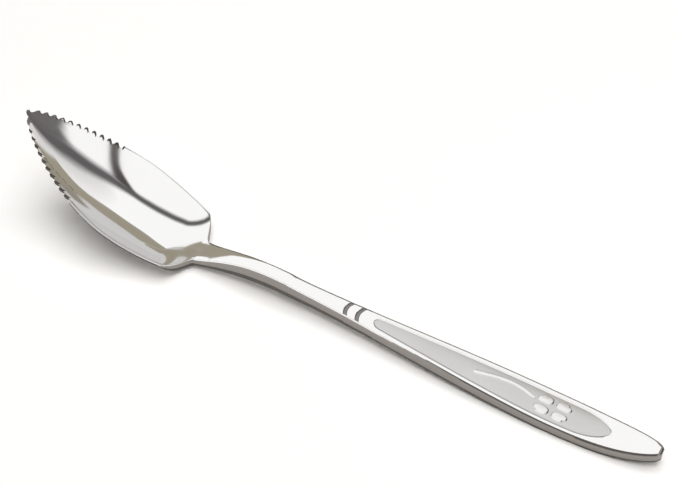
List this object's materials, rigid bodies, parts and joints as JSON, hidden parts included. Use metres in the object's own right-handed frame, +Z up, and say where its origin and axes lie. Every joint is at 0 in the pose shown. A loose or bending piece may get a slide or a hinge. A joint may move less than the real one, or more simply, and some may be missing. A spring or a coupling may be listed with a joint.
{
  "type": "grapefruit spoon",
  "caption": "Spoon with a pointed bowl serrated along its front edges, a grooved shank and a flat handle with a sunk satin panel and a clover in relief.",
  "frame": {"origin": "on the table plane, at the middle of the spoon's length and width", "axes": "+X from the bowl tip to the tail, +Y across to the far side, +Z up with the spoon lying bowl up"},
  "size_m": [0.1732, 0.026, 0.0286],
  "materials": {
    "polished_steel": "mirror-polished stainless steel",
    "satin_steel": "fine satin, frosted stainless steel"
  },
  "bodies": {
    "root": {"bowl": "polished_steel", "near_serrated_edge": "polished_steel", "far_serrated_edge": "polished_steel", "neck": "polished_steel", "shank": "polished_steel", "handle": "polished_steel", "tail": "polished_steel", "satin_panel": "satin_steel", "clover_stem": "satin_steel", "clover": "satin_steel"}
  },
  "joints": []
}
